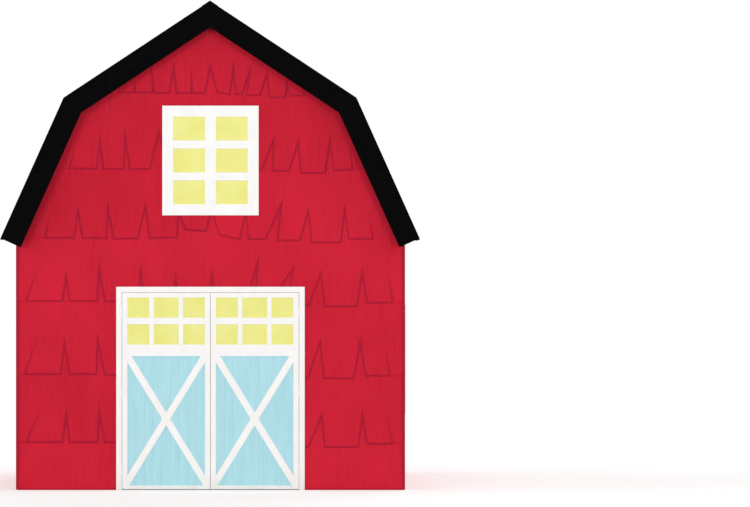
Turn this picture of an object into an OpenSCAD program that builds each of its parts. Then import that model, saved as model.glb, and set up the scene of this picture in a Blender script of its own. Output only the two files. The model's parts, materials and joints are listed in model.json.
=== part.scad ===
// A small gambrel-roofed barn: shingle-clad timber walls, a black two-pitch roof, a boarded
// loft, paned windows, and a pair of glazed, cross-braced doors in the front gable.
// The origin is on the ground under the middle of the barn. The front faces -Y.

/* [Walls] */
// Width over the side walls, without their cladding
barn_w = 5940; // [5600:10:7000]
// Length over the gable walls, without their cladding
barn_l = 8000; // [7400:50:10000]
// Thickness of the framed walls
wall_t = 150; // [130:5:180]
// Height of the floor slab above the ground
slab_t = 40; // [30:5:60]

/* [Roof] */
// Height of the roof's peak
ridge_z = 7515; // [7200:5:8000]
// Height of the break between the steep and the shallow slope
break_z = 6035; // [5900:5:6300]
// How far the break stands in from the wall's outer face
break_in = 730; // [600:5:900]
// Height of the roof's lower outer edge
eave_z = 3875; // [3800:5:4000]
// How far the eaves stand out from the side walls
eave_out = 240; // [180:5:270]
// How far the roof runs out past the gable walls
gable_out = 300; // [200:10:400]
// Thickness of the roof deck
deck_t = 60; // [45:5:75]
// Depth of the rafters
rafter_d = 240; // [200:5:250]
// Width of a rafter
rafter_t = 60; // [45:5:75]
// Aimed spacing of the rafters
rafter_gap = 800; // [600:50:1100]
// Depth of the boards along the gable edges of the roof
rake_d = 325; // [290:5:340]
// Thickness of those boards
rake_t = 40; // [25:5:50]
// Gap left at the seats under the roof deck
seat_gap = 0.2; // [0.1:0.1:0.5]
// Thickness of the board along the eaves
fascia_t = 30; // [20:5:40]
// Thickness of the ridge board
ridge_t = 50; // [40:5:70]
// Depth of the ridge board
ridge_d = 340; // [320:10:400]
// Width of the ridge cap on each slope
cap_w = 150; // [100:10:200]
// Thickness of the ridge cap
cap_t = 6; // [4:1:10]

/* [Loft] */
// Height of the loft floor's top
loft_z = 3455; // [3440:5:3600]
// Thickness of the loft boards
plank_t = 30; // [25:5:40]
// Depth of a loft joist
joist_d = 225; // [200:5:250]
// Width of a loft joist
joist_t = 75; // [60:5:90]
// Aimed spacing of the loft joists
joist_gap = 770; // [600:10:900]
// Width of the ledgers that carry the joists
ledger_t = 75; // [60:5:90]
// Depth of those ledgers
ledger_d = 150; // [120:5:180]
// Length of the hatch in the loft floor, across the barn
hatch_w = 1000; // [800:50:1200]
// Distance of the hatch from the right wall
hatch_in = 500; // [300:50:800]

/* [Doorway] */
// Width over the door casing
door_w = 2905; // [2700:5:3100]
// Height over the door casing
door_h = 3135; // [2950:5:3160]
// Width of the flat casing boards round the door and windows
casing_w = 85; // [75:5:100]
// How far the casings stand out from the wall
casing_out = 45; // [40:1:60]
// Thickness of the boards that line the doorway and the windows
jamb_t = 30; // [20:5:40]
// Width of the door stops
stop_w = 20; // [15:1:30]
// Thickness of the door stops
stop_t = 30; // [20:5:40]

/* [Door leaves] */
// Thickness of a leaf
leaf_t = 60; // [50:5:70]
// How far a leaf stands back from the casing's face
leaf_set = 5; // [2:1:8]
// Gap round a leaf
leaf_gap = 6; // [5:1:8]
// Gap under a leaf
foot_gap = 15; // [10:1:25]
// Back bevel on the edges where the leaves meet
meeting_bevel = 4; // [3:1:6]
// Width of a leaf's stiles
stile_w = 83; // [70:1:100]
// Height of a leaf's foot rail above the leaf's foot
foot_rail = 55; // [50:5:80]
// Height of the rail between the panel and the top light
mid_rail = 177; // [140:1:200]
// Height of the top light
light_h = 725; // [600:5:800]
// Height of a leaf's top rail
top_rail = 75; // [60:1:90]
// Thickness of the boarded panel
board_t = 22; // [18:1:25]
// How far the panel and the glass lie behind the leaf's face
recess = 26; // [20:1:32]
// Width of the diagonal braces
brace_w = 105; // [80:5:130]
// Height of the braces' feet above the panel's lower corners
brace_lift = 60; // [0:5:120]
// Thickness of the panes
pane_t = 6; // [4:1:10]

/* [Hinges] */
// Hinges on each leaf
hinge_count = 3; // [2:1:4]
// Height of the lowest hinge's middle
hinge_low_z = 300; // [200:10:450]
// Distance of the highest hinge's middle from the leaf's top
hinge_top_in = 300; // [200:10:450]
// Radius of the hinge barrels
barrel_r = 11; // [9:1:12]
// Radius of the hinge pins
pin_r = 5; // [4:0.5:6]
// Play of a pin in its barrel
pin_play = 0.05; // [0.02:0.01:0.08]
// Height of one knuckle
knuckle_h = 50; // [40:5:60]
// Gap between the knuckles
knuckle_gap = 1; // [0.5:0.5:2]
// Length of the hinge plates
plate_w = 62; // [50:2:70]
// Thickness of the hinge plates
plate_t = 4; // [3:1:5]

/* [Windows] */
// Width over a window's casing
window_w = 1485; // [1300:5:1600]
// Height over a window's casing
window_h = 1690; // [1500:10:1700]
// Height of the foot of the loft windows' casings
loft_window_z = 4237; // [4200:1:4350]
// Height of the foot of the lower windows' casings
low_window_z = 1150; // [900:10:1200]
// Width of the sash inside the casing
sash_w = 85; // [60:5:100]
// Thickness of the sash
sash_t = 45; // [35:5:55]
// How far the sash stands back from the casing's face
sash_set = 10; // [5:1:20]
// Distance of the side windows from the middle of the wall
side_window_y = 1900; // [1500:50:2300]
// Distance of the lower rear windows from the middle of the wall
rear_window_x = 1500; // [1200:50:1700]

/* [Hidden] */
$fn = 32;
eps = 1;
half_w = barn_w / 2;
half_l = barn_l / 2;
inner_w = barn_w - 2 * wall_t;
inner_l = barn_l - 2 * wall_t;
roof_l = barn_l + 2 * gable_out;
deck_l = roof_l - 2 * rake_t;
under_deck = deck_t + seat_gap;
rafter_foot = under_deck + rafter_d;
rafter_end = fascia_t + seat_gap;

// The roof's right half in section, as [across, up]: the eave, the break and the peak.
eave = [half_w + eave_out, eave_z];
break_point = [half_w - break_in, break_z];
peak = [0, ridge_z];
function unit(v) = v / norm(v);
function inward(u) = [-u[1], u[0]];
steep = unit(break_point - eave);
shallow = unit(peak - break_point);
steep_in = inward(steep);
shallow_in = inward(shallow);

// Points and lines of the roof's section at a depth below its outer surface. "along" is
// the distance up the slope from the square cut at the eave.
function eave_at(depth, along = 0) = eave + along * steep + depth * steep_in;
function break_at(depth) =
    break_point + depth * (steep_in + shallow_in) / (1 + steep_in * shallow_in);
function peak_at(depth) = [0, ridge_z + depth / shallow_in[1]];
function steep_z(x, depth) = eave_at(depth)[1] + (x - eave_at(depth)[0]) * steep[1] / steep[0];
function shallow_z(x, depth) = peak_at(depth)[1] + x * shallow[1] / shallow[0];
function cut_z(x, along) =
    eave_at(0, along)[1] + (x - eave_at(0, along)[0]) * steep_in[1] / steep_in[0];
function mirrored(points) = [for (i = [len(points) - 1:-1:0]) [-points[i][0], points[i][1]]];

// Doorway sizes. Depths into the wall are measured from the wall's outer face.
clear_w = door_w - 2 * casing_w;
clear_z = door_h - casing_w;
rough_w = clear_w + 2 * jamb_t;
rough_z = clear_z + jamb_t;
leaf_face = leaf_set - casing_out;
leaf_back = leaf_face + leaf_t;
leaf_in = leaf_gap / 2;
leaf_out = clear_w / 2 - leaf_gap;
leaf_top = clear_z - leaf_gap;
panel_foot = foot_gap + foot_rail;
light_top_z = leaf_top - top_rail;
light_z = light_top_z - light_h;
panel_z = light_z - mid_rail;
stop_face = leaf_back + leaf_gap;
panel_face = leaf_face + recess;

// Hinge sizes.
axis_x = clear_w / 2 - leaf_gap / 2;
axis_depth = -casing_out - plate_t / 2 - barrel_r;
barrel_h = 3 * knuckle_h + 2 * knuckle_gap;
hinge_step = (leaf_top - hinge_top_in - hinge_low_z) / (hinge_count - 1);
hinge_zs = [for (i = [0:hinge_count - 1]) hinge_low_z + i * hinge_step];

// Window sizes.
glass_w = window_w - 2 * (casing_w + sash_w);
glass_h = window_h - 2 * (casing_w + sash_w);
hole_in = casing_w - jamb_t;
sash_face = sash_set - casing_out;
glass_face = sash_face + (sash_t - pane_t) / 2;

// Loft sizes.
joist_z = loft_z - plank_t - joist_d;
joist_bays = round(inner_l / joist_gap);
joist_step = inner_l / joist_bays;
rafter_bays = round(inner_l / rafter_gap);
rafter_step = inner_l / rafter_bays;
hatch_l = joist_step - joist_t;
hatch_y = inner_l / 2 - 1.5 * joist_step;

// A solid with the given section, across and up, that runs from one Y to another.
module along_y(y0, y1) {
    translate([0, y1, 0])
        rotate([90, 0, 0])
            linear_extrude(y1 - y0)
                children();
}

// A box between two corners.
module block(low, high) {
    translate(low) cube(high - low);
}

// The same thing on the right side, or mirrored to the left.
module on_side(side) {
    if (side > 0) children();
    else mirror([1, 0, 0]) children();
}

// Places what was drawn with its outer face at Y 0 and facing -Y on each wall.
module on_front() {
    translate([0, -half_l, 0]) children();
}
module on_back(x) {
    translate([x, half_l, 0]) rotate([0, 0, 180]) children();
}
module on_right(y) {
    translate([half_w, y, 0]) rotate([0, 0, 90]) children();
}

module window_hole(z) {
    block([hole_in - window_w / 2, -eps, z + hole_in],
        [window_w / 2 - hole_in, wall_t + eps, z + window_h - hole_in]);
}

// A rectangular ring of boards, its outer size given, with its foot at Z 0.
module ring(w, h, band, y0, y1) {
    difference() {
        block([-w / 2, y0, 0], [w / 2, y1, h]);
        block([band - w / 2, y0 - eps, band], [w / 2 - band, y1 + eps, h - band]);
    }
}

// Casing, lining and sash of one window.
module window_frame(z) {
    lining_w = window_w - 2 * hole_in;
    lining_h = window_h - 2 * hole_in;
    sash_outer_w = window_w - 2 * casing_w;
    sash_outer_h = window_h - 2 * casing_w;
    color("white")
        translate([0, 0, z])
            union() {
                ring(window_w, window_h, casing_w, -casing_out, 0);
                translate([0, 0, hole_in]) ring(lining_w, lining_h, jamb_t, 0, wall_t);
                translate([0, 0, casing_w])
                    ring(sash_outer_w, sash_outer_h, sash_w, sash_face, sash_face + sash_t);
            }
}

module window_glass(z) {
    sill = z + casing_w + sash_w;
    color("khaki")
        block([-glass_w / 2, glass_face, sill], [glass_w / 2, glass_face + pane_t, sill + glass_h]);
}

module ground_floor() {
    threshold_y = -half_l + stop_face;
    color("darkgray")
        union() {
            block([-inner_w / 2, -inner_l / 2, 0], [inner_w / 2, inner_l / 2, slab_t]);
            block([-clear_w / 2, threshold_y, 0], [clear_w / 2, -inner_l / 2 + eps, slab_t]);
        }
}

// The front wall beside the doorway.
module front_wall(side) {
    color("crimson")
        on_side(side)
            block([rough_w / 2, -half_l, 0], [half_w, wall_t - half_l, rough_z]);
}

// A gable's outline from a height up to the deck.
module gable_outline(z0) {
    right = [[half_w, z0], [half_w, steep_z(half_w, under_deck)], break_at(under_deck)];
    polygon(concat(right, [peak_at(under_deck)], mirrored(right)));
}

module front_gable() {
    color("crimson")
        difference() {
            along_y(-half_l, wall_t - half_l) gable_outline(rough_z);
            on_front() window_hole(loft_window_z);
        }
}

module back_wall() {
    color("crimson")
        difference() {
            block([-half_w, half_l - wall_t, 0], [half_w, half_l, joist_z]);
            for (x = [-rear_window_x, rear_window_x])
                on_back(x) window_hole(low_window_z);
        }
}

module back_gable() {
    color("crimson")
        difference() {
            along_y(half_l - wall_t, half_l) gable_outline(joist_z);
            on_back(0) window_hole(loft_window_z);
        }
}

// The space that the rafters take, with room above, up the steep slope.
module rafter_space() {
    above = half_w;
    seat = rafter_foot + seat_gap;
    polygon([eave_at(-above, fascia_t), eave_at(seat, fascia_t), break_at(seat), break_at(-above)]);
}

// The side wall runs between the gable walls, and its top is cut to seat the rafters.
module side_wall(side) {
    plate_z = steep_z(half_w - wall_t, rafter_foot);
    color("crimson")
        on_side(side)
            difference() {
                block([half_w - wall_t, -inner_l / 2, 0], [half_w, inner_l / 2, plate_z]);
                along_y(-half_l, half_l) rafter_space();
                for (y = [-side_window_y, side_window_y])
                    on_right(y) window_hole(low_window_z);
            }
}

module loft_ledgers() {
    color("burlywood")
        for (side = [-1, 1])
            on_side(side)
                block([inner_w / 2 - ledger_t, -inner_l / 2, joist_z - ledger_d],
                    [inner_w / 2, inner_l / 2, joist_z]);
}

module loft_joists() {
    color("burlywood")
        for (i = [1:joist_bays - 1])
            translate([-inner_w / 2, i * joist_step - inner_l / 2 - joist_t / 2, joist_z])
                cube([inner_w, joist_t, joist_d]);
}

module loft_floor() {
    hatch_x = inner_w / 2 - hatch_in;
    color("tan")
        difference() {
            block([-inner_w / 2, -inner_l / 2, loft_z - plank_t], [inner_w / 2, inner_l / 2, loft_z]);
            block([hatch_x - hatch_w, hatch_y - hatch_l / 2, loft_z - plank_t - eps],
                [hatch_x, hatch_y + hatch_l / 2, loft_z + eps]);
        }
}

module ridge_board() {
    top = shallow_z(ridge_t / 2, under_deck);
    foot = peak_at(under_deck)[1] - ridge_d;
    right = [[ridge_t / 2, foot], [ridge_t / 2, top]];
    color("burlywood")
        along_y(-inner_l / 2, inner_l / 2)
            polygon(concat(right, [peak_at(under_deck)], mirrored(right)));
}

// A row of rafters between the gable walls, given one in section.
module rafter_row(side) {
    color("burlywood")
        on_side(side)
            for (i = [1:rafter_bays - 1])
                translate([0, i * rafter_step - inner_l / 2, 0])
                    along_y(-rafter_t / 2, rafter_t / 2) children();
}

// The lower rafters stand on the side walls and meet the upper ones at the break.
module lower_rafters(side) {
    rafter_row(side)
        polygon([eave_at(under_deck, rafter_end), break_at(under_deck), break_at(rafter_foot),
            eave_at(rafter_foot, rafter_end)]);
}

module upper_rafters(side) {
    rafter_row(side)
        polygon([break_at(under_deck), [ridge_t / 2, shallow_z(ridge_t / 2, under_deck)],
            [ridge_t / 2, shallow_z(ridge_t / 2, rafter_foot)], break_at(rafter_foot)]);
}

module lower_roof(side) {
    color("black")
        on_side(side)
            along_y(-deck_l / 2, deck_l / 2)
                polygon([eave_at(0), break_at(0), break_at(deck_t), eave_at(deck_t)]);
}

module upper_roof(side) {
    color("black")
        on_side(side)
            along_y(-deck_l / 2, deck_l / 2)
                polygon([break_at(0), peak_at(0), peak_at(deck_t), break_at(deck_t)]);
}

module ridge_cap() {
    foot = peak_at(-seat_gap);
    top = peak_at(-seat_gap - cap_t);
    right = [foot - cap_w * shallow, top - cap_w * shallow];
    color("black")
        along_y(-roof_l / 2, roof_l / 2)
            polygon(concat(right, [top], mirrored(right), [foot]));
}

// The bent board along one half of a gable edge, at the front end of the roof.
module rake(side) {
    color("black")
        on_side(side)
            along_y(-roof_l / 2, rake_t - roof_l / 2)
                polygon([eave_at(0), break_at(0), peak_at(0), peak_at(rake_d), break_at(rake_d),
                    eave_at(rake_d)]);
}

module back_rake(side) {
    mirror([0, 1, 0]) rake(side);
}

// The eave board closes the rafter ends down to the wall's face.
module eave_fascias() {
    color("black")
        for (side = [-1, 1])
            on_side(side)
                along_y(-deck_l / 2, deck_l / 2)
                    polygon([eave_at(under_deck), eave_at(under_deck, fascia_t),
                        [half_w, cut_z(half_w, fascia_t)], [half_w, cut_z(half_w, 0)]]);
}

// The fixed half of a hinge: plate, outer knuckles and the pin through them.
module fixed_hinge(z) {
    plate_x = clear_w / 2 + barrel_r;
    foot = z - barrel_h / 2;
    translate([axis_x, axis_depth, foot]) cylinder(h = barrel_h, r = pin_r);
    for (k = [0, 2])
        translate([axis_x, axis_depth, foot + k * (knuckle_h + knuckle_gap)])
            cylinder(h = knuckle_h, r = barrel_r);
    for (k = [0, 2])
        translate([axis_x, -casing_out - plate_t, foot + k * (knuckle_h + knuckle_gap)])
            cube([plate_w, plate_t, knuckle_h]);
    block([plate_x, -casing_out - plate_t, foot], [axis_x + plate_w, -casing_out, foot + barrel_h]);
}

// The moving half of a hinge: plate and middle knuckle, bored for the pin.
module moving_hinge(z) {
    foot = z - knuckle_h / 2;
    difference() {
        union() {
            translate([axis_x, axis_depth, foot]) cylinder(h = knuckle_h, r = barrel_r);
            block([axis_x - plate_w, -casing_out - plate_t, foot],
                [axis_x, -casing_out, foot + knuckle_h]);
            block([axis_x - plate_w, -casing_out - eps, foot],
                [leaf_out, leaf_face, foot + knuckle_h]);
        }
        translate([axis_x, axis_depth, foot - eps])
            cylinder(h = knuckle_h + 2 * eps, r = pin_r + pin_play);
    }
}

// Side casing, lining and stop of the doorway, with the hinges' fixed halves.
module door_jamb() {
    union() {
        block([clear_w / 2, -casing_out, 0], [door_w / 2, 0, clear_z]);
        block([clear_w / 2, -eps, 0], [rough_w / 2, wall_t, clear_z]);
        block([clear_w / 2 - stop_w, stop_face, slab_t],
            [clear_w / 2 + eps, stop_face + stop_t, clear_z]);
        for (z = hinge_zs) fixed_hinge(z);
    }
}

module door_jambs() {
    color("white")
        on_front()
            for (side = [-1, 1])
                on_side(side) door_jamb();
}

module door_head() {
    color("white")
        on_front()
            union() {
                block([-door_w / 2, -casing_out, clear_z], [door_w / 2, 0, door_h]);
                block([-rough_w / 2, -eps, clear_z], [rough_w / 2, wall_t, rough_z]);
                block([stop_w - clear_w / 2, stop_face, clear_z - stop_w],
                    [clear_w / 2 - stop_w, stop_face + stop_t, clear_z + eps]);
            }
}

// One leaf's stiles and rails with the hinges' moving halves, drawn for the right leaf.
module door_frame(side) {
    inner_in = leaf_in + stile_w;
    inner_out = leaf_out - stile_w;
    color("white")
        on_front()
            on_side(side)
                union() {
                    translate([0, 0, foot_gap])
                        linear_extrude(leaf_top - foot_gap)
                            polygon([[leaf_in, leaf_face], [inner_in, leaf_face],
                                [inner_in, leaf_back], [leaf_in + meeting_bevel, leaf_back]]);
                    block([inner_out, leaf_face, foot_gap], [leaf_out, leaf_back, leaf_top]);
                    for (rail = [[foot_gap, panel_foot], [panel_z, light_z],
                            [light_top_z, leaf_top]])
                        block([inner_in - eps, leaf_face, rail[0]],
                            [inner_out + eps, leaf_back, rail[1]]);
                    for (z = hinge_zs) moving_hinge(z);
                }
}

module door_panel(side) {
    color("powderblue")
        on_front()
            on_side(side)
                block([leaf_in + stile_w, panel_face, panel_foot],
                    [leaf_out - stile_w, panel_face + board_t, panel_z]);
}

// The crossed braces, cut to the panel's opening and flush with the frame.
module door_brace(side) {
    low = [leaf_in + stile_w, panel_foot + brace_lift];
    high = [leaf_out - stile_w, panel_z];
    middle = (low + high) / 2;
    reach = norm(high - low);
    lean = atan2(high[0] - low[0], high[1] - low[1]);
    color("white")
        on_front()
            on_side(side)
                intersection() {
                    block([low[0], leaf_face, panel_foot], [high[0], panel_face, high[1]]);
                    union() {
                        for (turn = [-lean, lean])
                            translate([middle[0], leaf_face, middle[1]])
                                rotate([0, turn, 0])
                                    translate([-brace_w / 2, 0, -reach / 2 - brace_w])
                                        cube([brace_w, recess, reach + 2 * brace_w]);
                    }
                }
}

module door_glass(side) {
    color("khaki")
        on_front()
            on_side(side)
                block([leaf_in + stile_w, panel_face, light_z],
                    [leaf_out - stile_w, panel_face + pane_t, light_top_z]);
}

module back_windows(kind) {
    on_back(0) window_part(kind, loft_window_z);
    for (x = [-rear_window_x, rear_window_x]) on_back(x) window_part(kind, low_window_z);
}

module side_windows(side, kind) {
    on_side(side)
        for (y = [-side_window_y, side_window_y]) on_right(y) window_part(kind, low_window_z);
}

module window_part(kind, z) {
    if (kind == "frame") window_frame(z);
    else window_glass(z);
}

ground_floor();
front_wall(-1);  // front_wall_left
front_wall(1);  // front_wall_right
front_gable();
back_wall();
back_gable();
side_wall(-1);  // left_wall
side_wall(1);  // right_wall
loft_ledgers();
loft_joists();
loft_floor();
ridge_board();
lower_rafters(-1);  // left_lower_rafters
upper_rafters(-1);  // left_upper_rafters
upper_rafters(1);  // right_upper_rafters
lower_rafters(1);  // right_lower_rafters
lower_roof(-1);  // left_lower_roof
upper_roof(-1);  // left_upper_roof
upper_roof(1);  // right_upper_roof
lower_roof(1);  // right_lower_roof
ridge_cap();
rake(-1);  // front_rake_left
rake(1);  // front_rake_right
back_rake(-1);  // back_rake_left
back_rake(1);  // back_rake_right
eave_fascias();
door_jambs();
door_head();
on_front() window_frame(loft_window_z);  // loft_window_frame
on_front() window_glass(loft_window_z);  // loft_window_glass
back_windows("frame");  // back_window_frames
back_windows("glass");  // back_window_glass
side_windows(-1, "frame");  // left_window_frames
side_windows(-1, "glass");  // left_window_glass
side_windows(1, "frame");  // right_window_frames
side_windows(1, "glass");  // right_window_glass
door_frame(-1);  // left_door_frame
door_panel(-1);  // left_door_panel
door_brace(-1);  // left_door_brace
door_glass(-1);  // left_door_glass
door_frame(1);  // right_door_frame
door_panel(1);  // right_door_panel
door_brace(1);  // right_door_brace
door_glass(1);  // right_door_glass
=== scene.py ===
"""The red barn's looks: crimson shakes, black shingles, white joinery and bare timber inside."""

import json
import math
import random

import bmesh
import bpy
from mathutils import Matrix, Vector


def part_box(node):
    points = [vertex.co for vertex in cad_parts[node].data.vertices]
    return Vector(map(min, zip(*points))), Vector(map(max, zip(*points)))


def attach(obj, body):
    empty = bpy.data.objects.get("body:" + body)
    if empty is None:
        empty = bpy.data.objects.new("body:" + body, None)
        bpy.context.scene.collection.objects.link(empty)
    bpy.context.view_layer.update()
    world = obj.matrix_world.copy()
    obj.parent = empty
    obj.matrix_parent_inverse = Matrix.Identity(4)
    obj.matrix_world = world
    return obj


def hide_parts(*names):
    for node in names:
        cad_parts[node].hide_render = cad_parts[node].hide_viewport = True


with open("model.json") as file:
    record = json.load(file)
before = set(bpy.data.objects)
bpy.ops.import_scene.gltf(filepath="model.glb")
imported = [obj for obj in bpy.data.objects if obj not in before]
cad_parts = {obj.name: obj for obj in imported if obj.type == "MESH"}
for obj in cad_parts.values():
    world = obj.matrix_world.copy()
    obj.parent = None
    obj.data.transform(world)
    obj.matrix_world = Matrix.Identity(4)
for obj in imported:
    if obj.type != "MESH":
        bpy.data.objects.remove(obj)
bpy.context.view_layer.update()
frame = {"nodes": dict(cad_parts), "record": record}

# The CAD part's own sizes, in metres: the walls' faces, the corners of the roof's section, and
# the outer edges of the casings, which the cladding is cut round.
INNER_X, INNER_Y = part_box("right_wall")[0].x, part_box("back_wall")[0].y
WALL_X, WALL_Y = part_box("right_wall")[1].x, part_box("back_wall")[1].y
EAVE = (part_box("right_lower_roof")[1].x, 3.875)
BREAK = (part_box("right_upper_roof")[1].x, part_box("right_lower_roof")[1].z)
RIDGE_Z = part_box("right_upper_roof")[1].z
VERGE_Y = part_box("back_rake_right")[1].y
DECK = 0.06
LOFT_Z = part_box("loft_floor")[1].z
HALF_DOORWAY, DOOR_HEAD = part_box("door_head")[1].x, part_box("door_head")[1].z
HALF_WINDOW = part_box("loft_window_frame")[1].x
LOFT_SILL, LOFT_HEAD = [corner.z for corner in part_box("loft_window_frame")]
LOW_SILL, LOW_HEAD = [corner.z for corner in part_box("left_window_frames")]
SIDE_WINDOW_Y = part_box("left_window_frames")[1].y - HALF_WINDOW
REAR_WINDOW_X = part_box("back_window_frames")[1].x - HALF_WINDOW

STEEP_RUN = math.dist(EAVE, BREAK)
STEEP = ((EAVE[0] - BREAK[0]) / STEEP_RUN, (BREAK[1] - EAVE[1]) / STEEP_RUN)
SHALLOW_RUN = math.dist(BREAK, (0, RIDGE_Z))
SHALLOW = (BREAK[0] / SHALLOW_RUN, (RIDGE_Z - BREAK[1]) / SHALLOW_RUN)

X, Y, Z = Vector((1, 0, 0)), Vector((0, 1, 0)), Vector((0, 0, 1))
UPRIGHT = math.pi / 2


# Finishes

# Most of a noise pattern's values lie in the wide range, and the narrow one gives more contrast.
WIDE = (0.3, 0.7)
NARROW = (0.35, 0.65)

# The sockets of a Mix node that mixes colours.
FACTOR, FIRST, SECOND, MIXED = 0, 6, 7, 2


def linear(code):
    """The linear colour of an sRGB hex value."""
    shares = [int(code[i : i + 2], 16) / 255 for i in (1, 3, 5)]
    return (*[s / 12.92 if s <= 0.04045 else ((s + 0.055) / 1.055) ** 2.4 for s in shares], 1)


def add(tree, kind, inputs, **settings):
    """Adds a node with its settings, and gives its outputs. The inputs are a list from the first
    one on, or a dict by name or number. Each is a value, a colour's hex value or an output."""
    node = tree.nodes.new("ShaderNode" + kind)
    for name, value in settings.items():
        setattr(node, name, value)
    for key, value in inputs.items() if isinstance(inputs, dict) else enumerate(inputs):
        if isinstance(value, bpy.types.NodeSocket):
            tree.links.new(value, node.inputs[key])
        else:
            node.inputs[key].default_value = linear(value) if isinstance(value, str) else value
    return node.outputs


def new_finish(name):
    """An empty material, and the place of each point on the barn to draw its pattern by."""
    finish = bpy.data.materials.new(name)
    finish.use_nodes = True
    finish.node_tree.nodes.clear()
    place = add(finish.node_tree, "TexCoord", [])["Object"]
    return finish, finish.node_tree, place


def grain(tree, place, scale, turn=(0, 0, 0), detail=4.0, roughness=0.6):
    """Streaks or patches whose size along each axis is one over the scale, in metres."""
    turned = add(tree, "Mapping", {"Vector": place, "Rotation": turn, "Scale": scale})[0]
    inputs = {"Vector": turned, "Scale": 1.0, "Detail": detail, "Roughness": roughness}
    return add(tree, "TexNoise", inputs)["Fac"]


def coat(tree, colour, rough, height, depth, **sockets):
    """The surface: its colour and roughness, and a bump from a height and its depth in metres."""
    bump = add(tree, "Bump", {"Height": height, "Distance": depth, "Strength": 1.0})["Normal"]
    inputs = {"Base Color": colour, "Roughness": rough, "Normal": bump}
    for name, value in sockets.items():
        inputs[name.replace("_", " ")] = value
    surface = add(tree, "BsdfPrincipled", inputs)["BSDF"]
    add(tree, "OutputMaterial", {"Surface": surface})


def crimson_paint(name, dark, light):
    """Barn paint on split cedar: the split grain shows through the paint as faint upright
    streaks, and each course has taken the paint a little differently. Real grain is 3 to 6 mm
    wide, and it is drawn three times as coarse so that it shows."""
    finish, tree, place = new_finish(name)
    streaks = grain(tree, place, (55, 55, 1.6), detail=6.0, roughness=0.65)
    weather = grain(tree, place, (1.3, 1.3, 0.8), detail=2.0)
    course = add(tree, "NewGeometry", [])["Random Per Island"]
    course = add(tree, "MapRange", [course, 0, 1, 0.35, 0.65])[0]
    streaked = add(tree, "MapRange", [streaks, *WIDE, -0.5, 0.5])[0]
    weathered = add(tree, "MapRange", [weather, *WIDE, -0.25, 0.25])[0]
    share = add(tree, "Math", [course, streaked])[0]
    share = add(tree, "Math", [share, weathered], use_clamp=True)[0]
    mix = {FACTOR: share, FIRST: dark, SECOND: light}
    colour = add(tree, "Mix", mix, data_type="RGBA")[MIXED]
    rough = add(tree, "MapRange", [streaks, *WIDE, 0.52, 0.68])[0]
    coat(tree, colour, rough, streaks, 0.009, Specular_IOR_Level=0.1)
    return finish


def black_stain(name, dark, light):
    """Creosote-black stain on sawn cedar shingles: matt, with some shingles gone greyer and the
    saw marks showing in grazing light. The marks are 4 mm apart and drawn at 12 mm."""
    finish, tree, place = new_finish(name)
    marks = grain(tree, place, (25, 80, 25))
    shingle = add(tree, "NewGeometry", [])["Random Per Island"]
    shingle = add(tree, "MapRange", [shingle, 0, 1, 0.2, 0.8])[0]
    sawn = add(tree, "MapRange", [marks, *NARROW, -0.2, 0.2])[0]
    share = add(tree, "Math", [shingle, sawn], use_clamp=True)[0]
    mix = {FACTOR: share, FIRST: dark, SECOND: light}
    colour = add(tree, "Mix", mix, data_type="RGBA")[MIXED]
    rough = add(tree, "MapRange", [marks, *WIDE, 0.7, 0.88])[0]
    coat(tree, colour, rough, marks, 0.002, Specular_IOR_Level=0.04)
    return finish


def painted_board(name, dark, light, rough, along=(9, 9, 9), shine=0.4):
    """Brushed oil paint on planed boards: the brush strokes leave a fine, shallow ripple and
    slight changes of gloss. Bristle marks are 1 mm wide and drawn at 8 mm."""
    finish, tree, place = new_finish(name)
    strokes = grain(tree, place, (120, 120, 120), detail=3.0)
    patches = grain(tree, place, along, detail=3.0)
    share = add(tree, "MapRange", [patches, *NARROW, 0, 1])[0]
    mix = {FACTOR: share, FIRST: dark, SECOND: light}
    colour = add(tree, "Mix", mix, data_type="RGBA")[MIXED]
    rough = add(tree, "MapRange", [strokes, *WIDE, rough - 0.06, rough + 0.06])[0]
    coat(tree, colour, rough, strokes, 0.0004, Specular_IOR_Level=shine)
    return finish


def white_joinery():
    """White gloss paint on joinery: a warm white with brush ripples, a little dulled near the
    ground where rain splashes up."""
    finish, tree, place = new_finish("white_gloss_paint")
    strokes = grain(tree, place, (120, 120, 120), detail=3.0)
    patches = grain(tree, place, (5, 5, 3), detail=4.0)
    share = add(tree, "MapRange", [patches, *NARROW, 0, 1])[0]
    mix = {FACTOR: share, FIRST: "#F4F3F1", SECOND: "#F9F8F6"}
    clean = add(tree, "Mix", mix, data_type="RGBA")[MIXED]
    height = add(tree, "SeparateXYZ", [place])["Z"]
    low = add(tree, "MapRange", [height, 0, 0.35, 0.55, 0])[0]
    patchy = add(tree, "MapRange", [patches, 0.35, 0.7, 0.1, 1])[0]
    splash = add(tree, "Math", [low, patchy], operation="MULTIPLY")[0]
    mix = {FACTOR: splash, FIRST: clean, SECOND: "#CFC8BA"}
    colour = add(tree, "Mix", mix, data_type="RGBA")[MIXED]
    rough = add(tree, "MapRange", [strokes, *WIDE, 0.34, 0.46])[0]
    coat(tree, colour, rough, strokes, 0.0004, Specular_IOR_Level=0.4)
    return finish


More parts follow.
